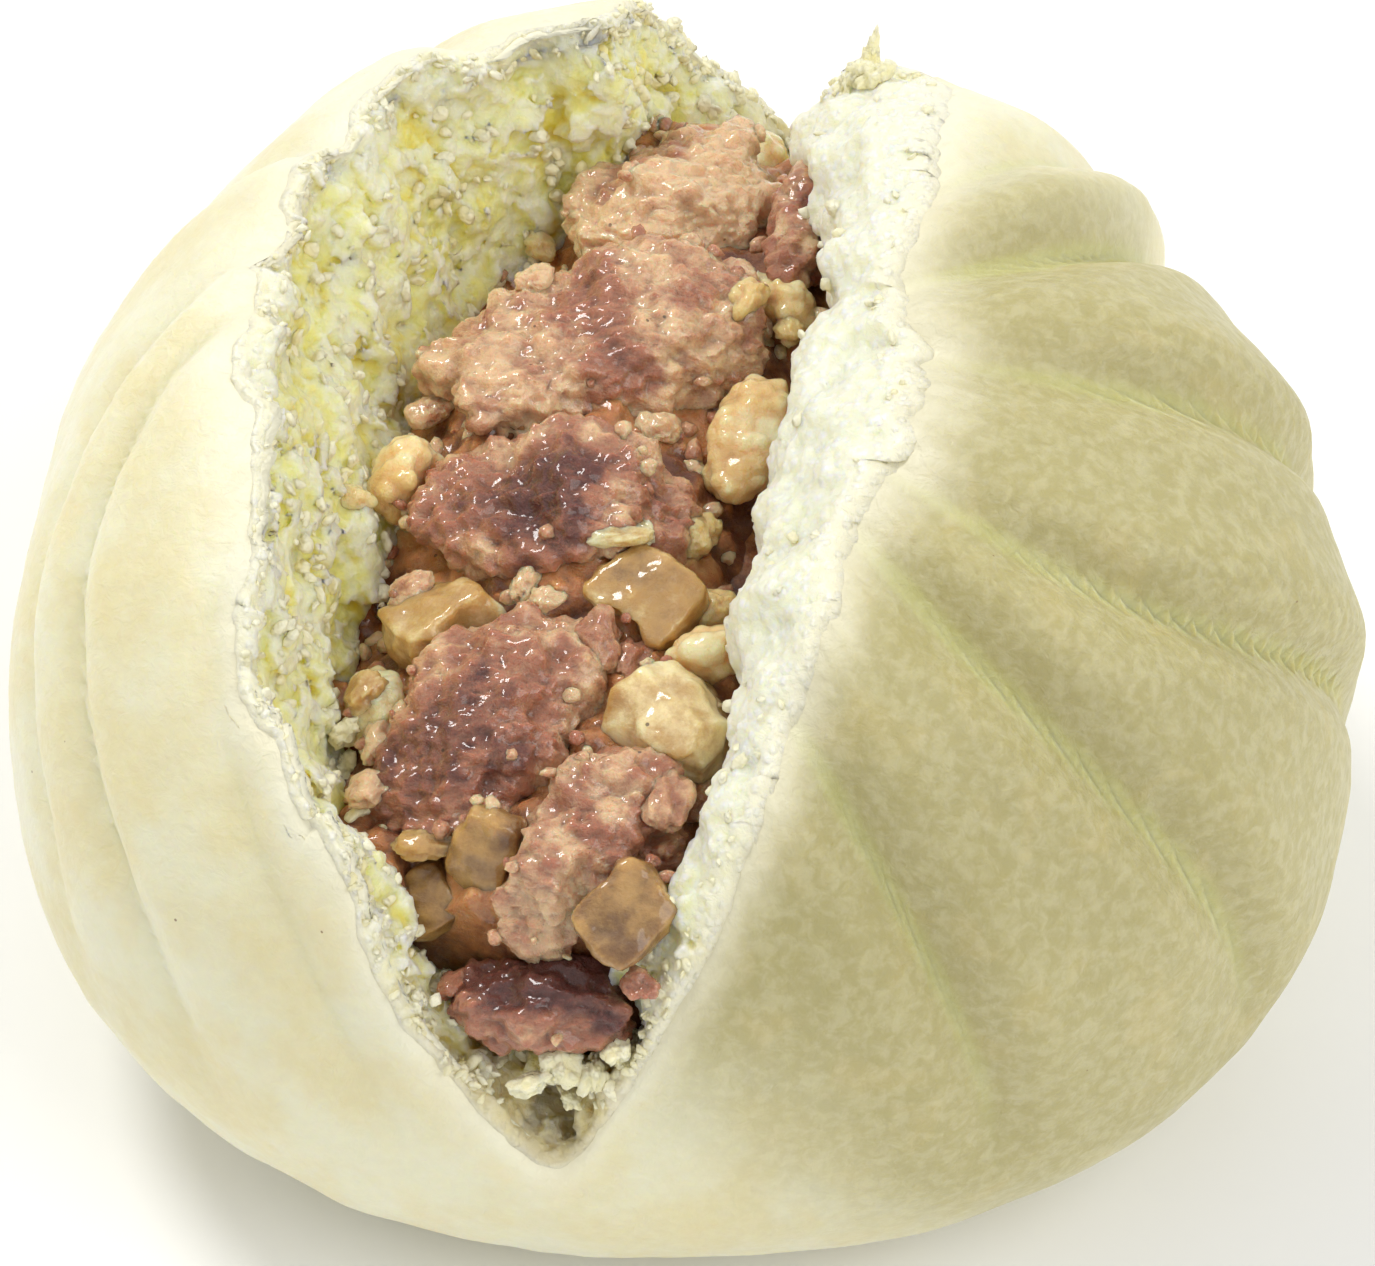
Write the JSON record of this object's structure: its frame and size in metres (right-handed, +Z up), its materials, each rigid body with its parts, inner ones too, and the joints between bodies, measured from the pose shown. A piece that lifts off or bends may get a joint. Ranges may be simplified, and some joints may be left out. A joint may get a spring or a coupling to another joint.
{
  "type": "steamed pork bun, torn open",
  "caption": "Large steamed pork bun with pleated dough, torn open from the top so that its chunky pork and onion filling shows.",
  "frame": {"origin": "middle of the bun's bounding box, on the flat face that it rests on", "axes": "+Z up, out of the tear; X across the tear, from the thin-lipped half at -X to the pleated half at +X; Y along the tear, its low, wide end at -Y"},
  "size_m": [0.1066, 0.1061, 0.067],
  "materials": {
    "dough": "matte",
    "mince": "moist",
    "pork": "moist",
    "onion": "wet",
    "fat": "wet"
  },
  "bodies": {
    "root": {"dough": "dough", "filling": "mince", "pork_chunk_1": "pork", "pork_chunk_2": "pork", "pork_chunk_3": "pork", "pork_chunk_4": "pork", "pork_chunk_5": "pork", "pork_chunk_6": "pork", "pork_chunk_7": "pork", "onion_piece_1": "onion", "onion_piece_2": "onion", "onion_piece_3": "onion", "onion_piece_4": "onion", "onion_piece_5": "onion", "onion_piece_6": "onion", "fat_piece_1": "fat", "fat_piece_2": "fat", "fat_piece_3": "fat", "fat_piece_4": "fat", "fat_piece_5": "fat", "fat_piece_6": "fat"}
  },
  "joints": []
}
